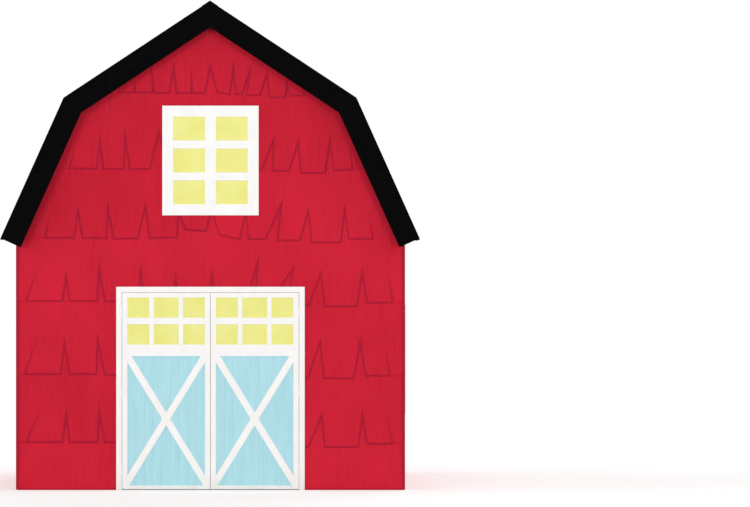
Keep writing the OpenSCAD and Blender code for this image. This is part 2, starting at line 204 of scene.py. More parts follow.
def obscured_glass():
    """Pale yellow cathedral glass, rolled on one side: it passes light and no view, so it reads
    as an even glow with a gloss and soft hammered dimples. They are 10 mm across in the real
    glass and drawn at 25 mm."""
    finish, tree, place = new_finish("yellow_cathedral_glass")
    cells = {"Vector": place, "Scale": 40.0, "Smoothness": 0.6}
    dimples = add(tree, "TexVoronoi", cells, feature="SMOOTH_F1")["Distance"]
    clouds = grain(tree, place, (3, 3, 3), detail=2.0)
    share = add(tree, "MapRange", [clouds, *NARROW, 0, 1])[0]
    mix = {FACTOR: share, FIRST: "#F6F481", SECOND: "#FBF995"}
    colour = add(tree, "Mix", mix, data_type="RGBA")[MIXED]
    coat(tree, colour, 0.16, dimples, 0.0015, IOR=1.52, Transmission_Weight=0.12)
    return finish


def sawn_softwood(name, along, turn=(0, 0, 0)):
    """Rough-sawn spruce, left bare: straw to honey brown with long, narrow grain. The rings are
    3 to 5 mm apart and drawn at 10 mm, and the saw has left a slight fur."""
    finish, tree, place = new_finish(name)
    rings = grain(tree, place, along, turn, detail=5.0)
    patches = grain(tree, place, (0.9, 0.9, 0.9), detail=2.0)
    board = add(tree, "NewGeometry", [])["Random Per Island"]
    board = add(tree, "MapRange", [board, 0, 1, -0.25, 0.3])[0]
    ringed = add(tree, "MapRange", [rings, *WIDE, 0, 0.8])[0]
    patchy = add(tree, "MapRange", [patches, *WIDE, -0.15, 0.15])[0]
    share = add(tree, "Math", [ringed, board])[0]
    share = add(tree, "Math", [share, patchy], use_clamp=True)[0]
    mix = {FACTOR: share, FIRST: "#A87F50", SECOND: "#D9B785"}
    colour = add(tree, "Mix", mix, data_type="RGBA")[MIXED]
    rough = add(tree, "MapRange", [rings, *WIDE, 0.66, 0.8])[0]
    coat(tree, colour, rough, rings, 0.0012, Specular_IOR_Level=0.3)
    return finish


def drawn_boards(tree, place):
    """Colour and height of sawn boards laid level, 180 mm wide and butted, where the loft's
    walls and the deck's underside show no board of their own."""
    xyz = add(tree, "SeparateXYZ", [place])
    across = add(tree, "Math", [xyz["X"], xyz["Y"]])[0]
    flat = add(tree, "CombineXYZ", {"X": across, "Y": xyz["Z"]})[0]
    sawn = grain(tree, place, (1.6, 1.6, 70), detail=5.0)
    share = add(tree, "MapRange", [sawn, *WIDE, 0, 1])[0]
    mix = {FACTOR: share, FIRST: "#9C7448", SECOND: "#CBA876"}
    darker = add(tree, "Mix", mix, data_type="RGBA")[MIXED]
    mix = {FACTOR: share, FIRST: "#AE8758", SECOND: "#D8B98A"}
    lighter = add(tree, "Mix", mix, data_type="RGBA")[MIXED]
    boards = add(tree, "TexBrick", {"Vector": flat, "Color1": darker, "Color2": lighter,
                                    "Mortar": "#3A2A1A", "Scale": 1.0, "Mortar Size": 0.003,
                                    "Brick Width": 2.4, "Row Height": 0.18})
    height = add(tree, "Math", [1.0, boards["Fac"]], operation="SUBTRACT")[0]
    return boards["Color"], height


def beyond(tree, place, x_limit, y_limit):
    """One where a point lies outside a rectangle round the middle of the barn, else zero."""
    xyz = add(tree, "SeparateXYZ", [place])
    past = []
    for axis, limit in (("X", x_limit), ("Y", y_limit)):
        size = add(tree, "Math", [xyz[axis]], operation="ABSOLUTE")[0]
        past.append(add(tree, "Math", [size, limit], operation="GREATER_THAN")[0])
    return add(tree, "Math", past, operation="MAXIMUM")[0]


def wall_sides():
    """A wall's two faces: crimson paint outside, and sawn boards inside. Behind the ground
    storey's own lining the wall is painted dark brown as shade, so that the gaps between its
    boards look dark."""
    finish, tree, place = new_finish("crimson_wall_with_board_lining")
    boards, height = drawn_boards(tree, place)
    # Painted shade: below the loft the wall is dark brown, seen through the gaps between the
    # lining's boards.
    up = add(tree, "SeparateXYZ", [place])["Z"]
    lined = add(tree, "Math", [up, LOFT_Z], operation="LESS_THAN")[0]
    mix = {FACTOR: lined, FIRST: boards, SECOND: "#2B2016"}
    inside = add(tree, "Mix", mix, data_type="RGBA")[MIXED]
    streaks = grain(tree, place, (60, 60, 2.2))
    share = add(tree, "MapRange", [streaks, *WIDE, 0, 1])[0]
    mix = {FACTOR: share, FIRST: "#B81D31", SECOND: "#C6243A"}
    red = add(tree, "Mix", mix, data_type="RGBA")[MIXED]
    outside = beyond(tree, place, (INNER_X + WALL_X) / 2, (INNER_Y + WALL_Y) / 2)
    mix = {FACTOR: outside, FIRST: inside, SECOND: red}
    colour = add(tree, "Mix", mix, data_type="RGBA")[MIXED]
    rough = add(tree, "MapRange", [streaks, *WIDE, 0.6, 0.75])[0]
    coat(tree, colour, rough, height, 0.003, Specular_IOR_Level=0.3)
    return finish


def deck_sides():
    """A roof deck's faces: bare sawn boards over the loft, and black paint where it overhangs
    the walls and under the shingles."""
    finish, tree, place = new_finish("sawn_deck_boards_black_outside")
    outside = beyond(tree, place, WALL_X - 0.01, WALL_Y - 0.05)
    facing = add(tree, "TexCoord", [])["Normal"]
    up = add(tree, "SeparateXYZ", [facing])["Z"]
    upper = add(tree, "Math", [up, 0.0], operation="GREATER_THAN")[0]
    black = add(tree, "Math", [outside, upper], operation="MAXIMUM")[0]
    boards, height = drawn_boards(tree, place)
    mix = {FACTOR: black, FIRST: boards, SECOND: "#0A090B"}
    colour = add(tree, "Mix", mix, data_type="RGBA")[MIXED]
    coat(tree, colour, 0.75, height, 0.003, Specular_IOR_Level=0.25)
    return finish


def trowelled_concrete():
    """Concrete floated and trowelled by hand: mid grey with soft clouds, small pits of about
    5 mm drawn at 15 mm, and a low sheen where the trowel pressed hardest."""
    finish, tree, place = new_finish("trowelled_concrete")
    clouds = grain(tree, place, (1.4, 1.4, 1.4), detail=6.0)
    pits = grain(tree, place, (65, 65, 65), detail=3.0)
    share = add(tree, "MapRange", [clouds, *WIDE, 0, 1])[0]
    mix = {FACTOR: share, FIRST: "#8F8C86", SECOND: "#B3B0AA"}
    grey = add(tree, "Mix", mix, data_type="RGBA")[MIXED]
    pitted = add(tree, "MapRange", [pits, 0.62, 0.75, 0, 0.5])[0]
    mix = {FACTOR: pitted, FIRST: grey, SECOND: "#6D6A65"}
    colour = add(tree, "Mix", mix, data_type="RGBA")[MIXED]
    rough = add(tree, "MapRange", [clouds, *WIDE, 0.55, 0.8])[0]
    coat(tree, colour, rough, pits, 0.001, Specular_IOR_Level=0.4)
    return finish


CRIMSON = crimson_paint("crimson_paint_on_split_shakes", "#C1142C", "#D61D37")
# Painted shade: a darker crimson on the shakes' eased edges draws the shadow lines along the
# notches and butts.
CRIMSON_SHADE_LINE = crimson_paint("crimson_paint_darkened_as_shade_lines", "#A51430", "#B51A36")
# Painted shade: the corner beads are a darker crimson than the shakes, standing for the shading
# round each corner.
CORNER_SHADE_RED = crimson_paint("crimson_paint_darkened_as_corner_shade", "#A51230", "#B01834")
STAIN = black_stain("black_stained_cedar", "#0B0B0D", "#242225")
# Painted shade: a blacker stain on the strip under each course's butts stands for their shadow.
BUTT_SHADE_STAIN = black_stain("black_stained_cedar_in_painted_shade", "#030304", "#080809")
BLACK = painted_board("black_oil_paint", "#020203", "#060506", 0.62, shine=0.02)
WHITE = white_joinery()
BLUE = painted_board("pale_blue_oil_paint", "#A7DAE3", "#B1E1EA", 0.5, along=(14, 14, 1.2))
GLASS = obscured_glass()
WALL = wall_sides()
DECKING = deck_sides()
CONCRETE = trowelled_concrete()
WOOD_ACROSS = sawn_softwood("sawn_spruce_across_the_barn", (1.4, 90, 90))
WOOD_ALONG = sawn_softwood("sawn_spruce_along_the_barn", (90, 1.4, 90))


def rafter_woods():
    """Spruce whose grain runs up each of the four slopes."""
    woods = {}
    for side, sign in (("left", 1), ("right", -1)):
        for level, (run, rise) in (("lower", STEEP), ("upper", SHALLOW)):
            turn = (0, sign * math.atan2(rise, run), 0)
            wood = sawn_softwood(f"sawn_spruce_{side}_{level}_slope", (1.4, 90, 90), turn)
            woods[f"{side}_{level}_rafters"] = wood
    return woods


# Ways of working

# Places closer than this are the same place.
NEAR = 1e-4


def choose(*pieces):
    """Selects these pieces alone, with the first one active."""
    bpy.ops.object.select_all(action="DESELECT")
    for piece in pieces:
        piece.select_set(True)
    bpy.context.view_layer.objects.active = pieces[0]


def start(shape, name, size, place, turn=(0, 0, 0), finishes=()):
    """Adds a plane, disc or cube of this size at its place, and opens it for shaping."""
    if shape == "plane":
        bpy.ops.mesh.primitive_plane_add(size=1, location=place, rotation=turn)
    elif shape == "disc":
        bpy.ops.mesh.primitive_circle_add(vertices=18, radius=0.5, fill_type="NGON",
                                          location=place, rotation=turn)
    else:
        bpy.ops.mesh.primitive_cube_add(size=1, location=place, rotation=turn)
    piece = bpy.context.object
    piece.name = name
    piece.scale = size
    for finish in finishes:
        piece.data.materials.append(finish)
    bpy.ops.object.transform_apply(location=True, rotation=True, scale=True)
    reopen()
    return piece


def reopen():
    """Goes back to shaping the active piece."""
    bpy.ops.object.mode_set(mode="EDIT")


def stop():
    """Leaves edit mode."""
    bpy.ops.object.mode_set(mode="OBJECT")


def pick(piece, kind, wanted):
    """Selects the vertices, edges or faces that a test picks out."""
    bpy.ops.mesh.select_mode(type=kind)
    bpy.ops.mesh.select_all(action="DESELECT")
    mesh = bmesh.from_edit_mesh(piece.data)
    items = {"VERT": mesh.verts, "EDGE": mesh.edges, "FACE": mesh.faces}[kind]
    for item in [item for item in items if wanted(item)]:
        item.select = True
    mesh.select_flush_mode()
    bmesh.update_edit_mesh(piece.data)


def middle(face):
    """The middle of a face's points."""
    return face.calc_center_median()


def width(face, axis):
    """How far a face reaches along an axis."""
    along = [vert.co.dot(axis) for vert in face.verts]
    return max(along) - min(along)


def cut(place, normal, clear=False, fill=False, everything=True):
    """Cuts through at a plane. Cleared, what lies on the normal's side goes."""
    if everything:
        bpy.ops.mesh.select_all(action="SELECT")
    bpy.ops.mesh.bisect(plane_co=place, plane_no=normal, clear_outer=clear, use_fill=fill)


def saw(piece, axis, at, gap, wanted=None):
    """Cuts a strip as wide as the gap across an axis, through all or the faces wanted."""
    for side in (-gap / 2, gap / 2):
        if wanted:
            pick(piece, "FACE", wanted)
        cut((at + side) * axis, axis, everything=wanted is None)


def delete_strips(piece, axis, least):
    """Deletes the faces that are narrower than this along an axis."""
    pick(piece, "FACE", lambda f: width(f, axis) < least)
    bpy.ops.mesh.delete(type="FACE")


def cut_holes(piece, holes, up=Z):
    """Cuts rectangular holes in a flat sheet, each given by its left, right, low and high edge."""
    for left, right, low, high in holes:
        for x in (left, right):
            cut(x * X, X)
        for z in (low, high):
            cut(z * up, up)
        pick(piece, "FACE", lambda f: left < middle(f).x < right
             and low < middle(f).dot(up) < high)
        bpy.ops.mesh.delete(type="FACE")


def clean(**settings):
    """Dissolves the edges that cuts have left across flat faces."""
    bpy.ops.mesh.select_all(action="SELECT")
    bpy.ops.mesh.dissolve_limited(angle_limit=0.002, **settings)


def renumber(place):
    """Numbers points, edges and faces by their distance from a place that no two of them share.
    Extruding a round face leaves them in another order each run."""
    bpy.context.scene.cursor.location = place
    bpy.ops.mesh.select_all(action="SELECT")
    bpy.ops.mesh.sort_elements(type="CURSOR_DISTANCE", elements={"VERT", "EDGE", "FACE"})


def paint_picked(piece, index):
    """Gives the selected faces another one of the piece's finishes."""
    piece.active_material_index = index
    bpy.ops.object.material_slot_assign()


def modify(piece, kind, **settings):
    """Adds a modifier with its settings and applies it."""
    choose(piece)
    modifier = piece.modifiers.new(kind.lower(), kind)
    for name, value in settings.items():
        setattr(modifier, name, value)
    bpy.ops.object.modifier_apply(modifier=modifier.name)


def another(piece, name):
    """A copy of a piece, with its own mesh."""
    twin = piece.copy()
    twin.data = piece.data.copy()
    twin.name = name
    bpy.context.scene.collection.objects.link(twin)
    return twin


def settle(piece, place=(0, 0, 0), turn=(0, 0, 0)):
    """Turns and moves a piece, and puts that place in its mesh."""
    choose(piece)
    piece.location = place
    piece.rotation_euler = turn
    bpy.ops.object.transform_apply(location=True, rotation=True, scale=True)
    return piece


def unite(name, pieces):
    """Joins pieces into one."""
    choose(*pieces)
    bpy.ops.object.join()
    pieces[0].name = name
    bpy.ops.object.transform_apply(location=True, rotation=True, scale=True)
    return pieces[0]


def drop(*pieces):
    """Throws away patterns that only served for copies."""
    for piece in pieces:
        bpy.data.objects.remove(piece)


def hand_over(piece, body, slot, *replaced):
    """Gives a finished piece its body, and hides the CAD nodes that it stands for. The slot is not
    used.
    """
    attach(piece, body)
    if replaced:
        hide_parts(*replaced)


def upper_window():
    """The outer edges of a loft window's casing: left, right, low and high."""
    return (-HALF_WINDOW, HALF_WINDOW, LOFT_SILL, LOFT_HEAD)


def lower_window(x):
    """The outer edges of a lower window's casing."""
    return (x - HALF_WINDOW, x + HALF_WINDOW, LOW_SILL, LOW_HEAD)


def doorway():
    """The outer edges of the door's casing, which is open at its foot."""
    return (-HALF_DOORWAY, HALF_DOORWAY, -1.0, DOOR_HEAD)


def grown(hole, by):
    """A hole that is larger all round, or smaller."""
    left, right, low, high = hole
    return (left - by, right + by, low - by, high + by)


# Cladding

# A course of shakes stands this proud of the wall at its butt and under the next butt. Its
# edges are eased this deep over a split's width, it is this thick, and it runs on this far
# under the course above. Above the last course the next butt would be at NEXT_BUTT.
PROUD = 0.028
UNDER_BUTT = 0.012
EASE = 0.012
SPLIT = 0.03
BACKING = 0.006
LAP = 0.8
NEXT_BUTT = 7.2

# The cladding's top on the side walls, its depth under the decks' tops on the gables, its reach
# past the walls into the corner beads, and its gap round the casings.
SIDE_TOP = 3.775
UNDER_ROOF = DECK + 0.003
PAST_CORNER = 0.015
CASING_GAP = 0.003

# A corner bead's reach outside the walls, its width, and its foot and top.
BEAD_PROUD = 0.031
BEAD_WIDE = 0.044
BEAD_FOOT, BEAD_TOP = 0.004, 3.778

# On a wall that isn't seen, the notches' widths and heights and the shakes between them are as
# on the front. A foot lies a little off the course's line, and a peak to one side.
NOTCH_WIDTHS = (0.06, 0.17)
NOTCH_HEIGHTS = (0.48, 0.64)
SHAKE_WIDTHS = (0.3, 0.52)
FOOT_OFFSETS = (-0.03, 0.02)
PEAK_SHARES = (0.2, 1.3)


def notch_core(notch):
    """A notch inside its eased edges. The measured lines are the middles of the edges."""
    left, left_z, peak, peak_z, right, right_z = notch
    gap = max(right - left - SPLIT, 0.004)
    share = gap / (gap + 2 * SPLIT)
    base = (left_z + right_z - SPLIT) / 2
    first = (left + right - gap) / 2
    return (first, left_z - SPLIT / 2, first + (peak - first + SPLIT) * share,
            base + (peak_z - base) * share, first + gap, right_z - SPLIT / 2)


def cut_notches(course, cores, butt, lean):
    """Cuts a course's lower edge at each notch, and raises its points to the feet and peaks."""
    for left, _, _, _, right, _ in cores:
        for x in (left, (left + right) / 2, right):
            cut(x * X, X)
    pick(course, "EDGE", lambda e: len(e.link_faces) == 2)
    bpy.ops.mesh.dissolve_edges(use_verts=False)
    for left, left_z, peak, peak_z, right, right_z in cores:
        moves = ((left, left, left_z), ((left + right) / 2, peak, peak_z), (right, right, right_z))
        for x, to_x, to_z in moves:
            pick(course, "VERT", lambda v: abs(v.co.x - x) < NEAR and abs(v.co.z - butt) < NEAR)
            rise = to_z - butt
            bpy.ops.transform.translate(value=(to_x - x, rise * lean, rise))


def paint_shade_lines(course, cores):
    """Gives the eased edges the darker crimson of painted shade lines along the notches and butts,
    but for the outer sides of the end notches.
    """
    first, last = cores[0][0] - 0.02, cores[-1][4] + 0.02
    left_end = max(cores[0][0:3:2]) + 0.05
    right_end = min(cores[-1][2:5:2]) - 0.05
    pick(course, "FACE", lambda f: abs(f.normal.y) < 0.99 and first < middle(f).x < last
         and not (middle(f).x < left_end and f.normal.x > 0.1)
         and not (middle(f).x > right_end and f.normal.x < -0.1))
    paint_picked(course, 1)


def shake_course(butt, above, half, notches, holes, gable):
    """One course of shakes on a wall that faces -Y with its face at Y 0. The course leans out
    to its butt, and its edges are eased by an inset. A notch between two shakes is left foot,
    peak and right foot, each across and up. Outside the first and last notch no edge shows."""
    head = min(above + LAP, RIDGE_Z)
    lean = (PROUD - UNDER_BUTT) / (above - butt)
    height = head - butt
    course = start("plane", "course", (2 * half, height * math.hypot(1, lean), 1),
                   (0, height / 2 * lean - PROUD + EASE, butt + height / 2),
                   (UPRIGHT - math.atan(lean), 0, 0), (CRIMSON, CRIMSON_SHADE_LINE))
    cores = [notch_core(notch) for notch in notches]
    cut_notches(course, cores, butt, lean)
    bpy.ops.mesh.select_all(action="SELECT")
    bpy.ops.mesh.inset(thickness=SPLIT, depth=EASE, use_boundary=True, use_even_offset=True)
    # Painted shade lines on the eased edges.
    if cores:
        paint_shade_lines(course, cores)
    cut_holes(course, [hole for hole in holes if hole[2] < head and hole[3] > butt - 0.1])
    clean(delimit={"MATERIAL"})
    if gable:
        for side in (-1, 1):
            for (x, z), (run, rise) in ((EAVE, STEEP), (BREAK, SHALLOW)):
                place = ((x - rise * UNDER_ROOF) * side, 0, z - run * UNDER_ROOF)
                cut(place, (rise * side, 0, run), clear=True)
    stop()
    modify(course, "SOLIDIFY", thickness=BACKING, offset=-1)
    return course


# The front's notches in millimetres, measured from the photograph: left foot, peak, right foot.
FRONT_NOTCHES = {
    6.095: [
        (-1435, 6130, -1405, 6245, -1415, 6130), (-1185, 6135, -1170, 6325, -1150, 6135),
        (-890, 6135, -920, 6510, -860, 6125), (-640, 6125, -565, 6630, -520, 6125),
        (-305, 6120, -295, 6545, -275, 6120), (-90, 6125, -5, 6610, 105, 6140),
        (295, 6100, 360, 6670, 390, 6100), (480, 6110, 650, 6630, 560, 6090),
        (755, 6085, 880, 6495, 910, 6055), (1150, 6055, 1185, 6360, 1225, 6085),
        (1450, 6085, 1440, 6200, 1475, 6085)],
    4.935: [
        (-2220, 4960, -2080, 5260, -2185, 4960), (-1755, 4955, -1710, 5505, -1645, 4955),
        (-1340, 4955, -1330, 5615, -1235, 4950), (-940, 4955, -800, 5590, -655, 4950),
        (780, 4925, 1000, 5505, 955, 4925), (1210, 4925, 1360, 5445, 1395, 4890),
        (1765, 4890, 1845, 5505, 1900, 4935), (2190, 4940, 2150, 5290, 2220, 4940)],
    3.88: [
        (-2590, 3890, -2460, 4270, -2560, 3890), (-2105, 3890, -2050, 4415, -1970, 3890),
        (-1605, 3885, -1595, 4510, -1490, 3875), (-1125, 3885, -1000, 4475, -935, 3890),
        (-520, 3895, -500, 4395, -385, 4020), (-70, 3990, 5, 4410, 140, 3940),
        (445, 3865, 555, 4425, 590, 3875), (840, 3870, 1125, 4520, 1035, 3850),
        (1375, 3850, 1515, 4390, 1565, 3820), (2005, 3820, 2075, 4460, 2135, 3875),
        (2505, 3875, 2445, 4270, 2545, 3875)],
    2.9: [
        (-2865, 2915, -2650, 3470, -2845, 2915), (-2290, 2915, -2225, 3430, -2165, 2915),
        (-1750, 2915, -1730, 3580, -1625, 2915), (-1150, 2900, -1070, 3495, -1015, 2900),
        (-585, 2900, -540, 3410, -485, 2900), (-25, 2900, 15, 3430, 125, 2900),
        (550, 2900, 750, 3650, 700, 2900), (910, 2900, 1300, 3475, 1190, 2900),
        (1505, 2835, 1710, 3410, 1765, 2835), (2255, 2835, 2345, 3475, 2420, 2890),
        (2805, 2890, 2720, 3395, 2860, 2890)],
    1.775: [
        (-2885, 1790, -2670, 2360, -2865, 1790), (-2315, 1790, -2255, 2380, -2165, 1790),
        (-1760, 1790, -1750, 2460, -1625, 1780), (1495, 1725, 1700, 2355, 1750, 1725),
        (2205, 1725, 2310, 2380, 2395, 1765), (2765, 1765, 2700, 2190, 2790, 1765)],
    0.725: [
        (-2860, 740, -2625, 1265, -2840, 740), (-2290, 740, -2225, 1265, -2165, 740),
        (-1740, 740, -1725, 1365, -1625, 740), (1505, 665, 1725, 1220, 1765, 665),
        (2270, 665, 2345, 1265, 2420, 715), (2815, 715, 2700, 1240, 2840, 715)],
    0.012: [],
}
BUTTS = sorted(FRONT_NOTCHES)


def front_notches(butt):
    """The measured notches of a course, in metres."""
    return [tuple(value / 1000 for value in notch) for notch in FRONT_NOTCHES[butt]]


def seeded_notches(seed, half):
    """Likely notches for each course of a wall that the photograph doesn't show, out to half
    its width and the same on every run. The lowest course stands on the ground and has none."""
    def make(butt):
        rng = random.Random(seed + int(butt * 1000))
        notches = []
        x = 0.125 - half
        while butt > BUTTS[0] and x < half - 0.2:
            wide = rng.uniform(*NOTCH_WIDTHS)
            left_z, right_z = butt + rng.uniform(*FOOT_OFFSETS), butt + rng.uniform(*FOOT_OFFSETS)
            peak = x + wide * rng.uniform(*PEAK_SHARES)
            peak_z = butt + rng.uniform(*NOTCH_HEIGHTS)
            notches.append((x, left_z, peak, peak_z, x + wide, right_z))
            x += wide + rng.uniform(*SHAKE_WIDTHS)
        return notches
    return make


def clad(name, half, holes, notches, place, turn, top=None):
    """Clads one wall, course by course from the ground. It is cut level at its top, or else to
    the gable."""
    holes = [grown(hole, CASING_GAP) for hole in holes]
    gable = top is None
    courses = []
    for butt, above in zip(BUTTS, [*BUTTS[1:], NEXT_BUTT]):
        if gable or butt < top:
            courses.append(shake_course(butt, above, half, notches(butt), holes, gable))
    wall = unite(name, courses)
    if top:
        reopen()
        cut(top * Z, Z, clear=True, fill=True)
        stop()
    hand_over(settle(wall, place, (0, 0, turn)), "barn", "red_cladding")


def make_cladding():
    """Shakes on the four walls."""
    clad("front_shakes", WALL_X + PAST_CORNER, [doorway(), upper_window()], front_notches,
         (0, -WALL_Y, 0), 0)
    rear_windows = [upper_window(), lower_window(-REAR_WINDOW_X), lower_window(REAR_WINDOW_X)]
    clad("back_shakes", WALL_X + PAST_CORNER, rear_windows, seeded_notches(11, WALL_X - 0.09),
         (0, WALL_Y, 0), math.pi)
    side_windows = [lower_window(-SIDE_WINDOW_Y), lower_window(SIDE_WINDOW_Y)]
    for name, side, seed in (("right_shakes", 1, 23), ("left_shakes", -1, 37)):
        clad(name, WALL_Y + PAST_CORNER, side_windows, seeded_notches(seed, WALL_Y - 0.1),
             (WALL_X * side, 0, 0), UPRIGHT * side, SIDE_TOP)


def make_corner_beads():
    """A rounded bead up each corner, which the ends of the shakes run into. Its darker crimson is
    painted shade along the corner.
    """
    beads = []
    for x in (-1, 1):
        for y in (-1, 1):
            out = BEAD_PROUD - BEAD_WIDE / 2
            place = ((WALL_X + out) * x, (WALL_Y + out) * y, (BEAD_FOOT + BEAD_TOP) / 2)
            size = (BEAD_WIDE, BEAD_WIDE, BEAD_TOP - BEAD_FOOT)
            bead = start("cube", "corner_bead", size, place, finishes=(CORNER_SHADE_RED,))
            pick(bead, "EDGE", lambda e: abs(e.verts[0].co.z - e.verts[1].co.z) > 1
                 and abs(e.verts[0].co.x) > WALL_X and abs(e.verts[0].co.y) > WALL_Y)
            bpy.ops.mesh.bevel(offset=0.028, segments=5, affect="EDGES")
            stop()
            modify(bead, "BEVEL", width=0.003, segments=2, limit_method="ANGLE", angle_limit=0.8)
            beads.append(bead)
    hand_over(unite("corner_beads", beads), "barn", "red_cladding")


# Roofing

# A shingle's thickness, the length of it that shows, its whole length, and the strip of it
# next to the course above, which is stained darker as painted shade under that course's butts.
# Each lies at a slight angle over the one below.
SHINGLE = 0.012
EXPOSED = 0.17
LENGTH = 0.2
BUTT_SHADE = 0.022
TILT = math.atan(SHINGLE / EXPOSED)
SHINGLE_WIDTHS = (0.1, 0.25)
JOINT = 0.004

# The shingles end short of the roof's ends, and their tops lie this high over the deck.
VERGE_IN = 0.048
LIFT = 0.014

# The bent shingles on the ridge: their reach down each slope, their length, number and spacing
# along it, how far the first hangs past the roof's end, and how high the fold lies.
RIDGE_WING = 0.15
RIDGE_LENGTH = 0.18
RIDGE_COUNT = 60
RIDGE_STEP = 0.1432
RIDGE_PAST = 0.015
RIDGE_LIFT = 0.0245

# The painted strips over the shingles' ends stand this proud of the boards under them.
VERGE_WIDE = 0.062
VERGE_THICK = 0.016
VERGE_PROUD = 0.012


def shingle_strip(seed):
    """One course of shingles of mixed widths laid flat along Y, with its butts at X 0. The
    strip next to the course above takes a blacker stain: painted shade under that course's butts."""
    rng = random.Random(seed)
    long = 2 * (VERGE_Y - VERGE_IN)
    strip = start("plane", f"strip_{seed}", (LENGTH, long, 1), (LENGTH / 2, 0, 0),
                  finishes=(STAIN, BUTT_SHADE_STAIN))
    y = rng.uniform(0.06, 0.2) - long / 2
    while y < long / 2 - 0.07:
        saw(strip, Y, y + JOINT / 2, JOINT)
        y += rng.uniform(*SHINGLE_WIDTHS)
    delete_strips(strip, Y, JOINT + 0.002)
    pick(strip, "VERT", lambda v: v.co.x < 0.001)
    bpy.ops.transform.vertex_random(offset=0.004, seed=seed)
    # Painted shade: the strip under the next course's butts takes the blacker stain.
    cut((EXPOSED - BUTT_SHADE) * X, X)
    pick(strip, "FACE", lambda f: middle(f).x > EXPOSED - BUTT_SHADE)
    paint_picked(strip, 1)
    stop()
    modify(strip, "SOLIDIFY", thickness=SHINGLE, offset=-1)
    reopen()
    pick(strip, "EDGE", lambda e: all(v.co.x < 0.01 for v in e.verts) and len(e.link_faces) == 2
         and any(f.normal.z > 0.7 for f in e.link_faces)
         and any(f.normal.x < -0.7 for f in e.link_faces))
    bpy.ops.mesh.bevel(offset=0.003, segments=1, affect="EDGES")
    stop()
    return strip


def shingled_slope(level, strips, corner, slope, run, past):
    """Lays courses up a left slope from just past its lower edge, cuts the last at the upper
    edge, and turns a copy round for the right slope."""
    rise, angle = Vector((slope[0], 0, slope[1])), math.atan2(slope[1], slope[0])
    foot = Vector((-corner[0], 0, corner[1]))
    lift = LIFT * Vector((-slope[1], 0, slope[0]))
    count = round((run + past) / EXPOSED)
    step = (run + past - 0.012) / count
    courses = []
    for i in range(count):
        course = another(strips[(i * 3 + i // 4) % len(strips)], "shingle_course")
        course.location = foot + (i * step - past) * rise + lift
        course.rotation_euler = (0, TILT - angle, 0)
        courses.append(course)
    roof = unite(f"left_{level}_shingles", courses)
    reopen()
    cut(foot + run * rise, rise if corner == EAVE else X, clear=True, fill=True)
    stop()
    other = settle(another(roof, f"right_{level}_shingles"), turn=(0, 0, math.pi))
    for piece in (roof, other):
        hand_over(piece, "barn", "black_roofing")


def make_roofing():
    """Shingles on the four slopes, and the bent ones that cover the ridge."""
    strips = [shingle_strip(seed) for seed in (3, 5, 8, 13)]
    shingled_slope("lower", strips, EAVE, STEEP, STEEP_RUN, past=0.018)
    shingled_slope("upper", strips, BREAK, SHALLOW, SHALLOW_RUN, past=0.012)
    drop(*strips)
    cover = start("plane", "ridge_shingles", (2 * RIDGE_WING * SHALLOW[0], RIDGE_LENGTH, 1),
                  (0, RIDGE_LENGTH / 2, 0), finishes=(STAIN,))
    cut((0, 0, 0), X)
    pick(cover, "VERT", lambda v: abs(v.co.x) > 0.01)
    bpy.ops.transform.translate(value=(0, 0, -RIDGE_WING * SHALLOW[1]))
    stop()
    modify(cover, "SOLIDIFY", thickness=SHINGLE, offset=-1, use_even_offset=True)
    modify(cover, "BEVEL", width=0.002, segments=1)
    settle(cover, (0, -VERGE_Y - RIDGE_PAST, RIDGE_Z + RIDGE_LIFT), (-TILT, 0, 0))
    modify(cover, "ARRAY", count=RIDGE_COUNT, use_relative_offset=False,
           use_constant_offset=True, constant_offset_displace=(0, RIDGE_STEP, 0))
    hand_over(cover, "barn", "black_roofing", "ridge_cap")


def make_verges():
    """The painted strips that cover the shingles' ends over both gables, bent at the break."""
    verge = start("plane", "front_verge", (STEEP_RUN, VERGE_WIDE, 1),
                  (-(EAVE[0] + BREAK[0]) / 2, VERGE_WIDE / 2 - VERGE_PROUD - VERGE_Y,
                   (EAVE[1] + BREAK[1]) / 2),
                  (0, -math.atan2(STEEP[1], STEEP[0]), 0), (BLACK,))
    pick(verge, "EDGE", lambda e: all(v.co.z > BREAK[1] - 0.01 for v in e.verts))
    upward = (BREAK[0], 0, RIDGE_Z - BREAK[1])
    bpy.ops.mesh.extrude_region_move(TRANSFORM_OT_translate={"value": upward})
    stop()
    modify(verge, "MIRROR", use_axis=(True, False, False), merge_threshold=0.001)
    modify(verge, "SOLIDIFY", thickness=VERGE_THICK, offset=1, use_even_offset=True)
    modify(verge, "BEVEL", width=0.003, segments=2, limit_method="ANGLE", angle_limit=1.2)
    back = settle(another(verge, "back_verge"), turn=(0, 0, math.pi))
    for piece in (verge, back):
        hand_over(piece, "barn", "black_trim")


# Windows and doors

# Glazing bars run this far into the sash, and are rounded this much.
INTO_SASH = 0.002
BAR_ROUND = 0.007

# The upright boards of a door's panel.
DOOR_BOARDS = 9

# The middles of the three hinges, and the places of the screws on the right, across and up from
# a hinge's middle. Their heads stand on the hinges' plates.
HINGE_HEIGHTS = (0.3, 1.522, 2.744)
FIXED_SCREWS = ((1.392, -0.056), (1.413, -0.02), (1.392, 0.02), (1.413, 0.056))
MOVING_SCREWS = ((1.34, 0.012), (1.316, -0.012))
# A place beside the pattern's head that lies on none of its planes of symmetry.
OFF_SYMMETRY = (0.031, -0.007, 0.0077)
PLATE_FACE = -WALL_Y - 0.049


def pane_edges(first, length, shares, bar):
    """The two edges of each pane in a row. The outermost run 10 mm past, into the sash."""
    unit = (length - (len(shares) - 1) * bar) / sum(shares)
    edges = []
    for share in shares:
        edges.append([first, first + share * unit])
        first += share * unit + bar
    edges[0][0] -= 0.01
    edges[-1][1] += 0.01
    return edges


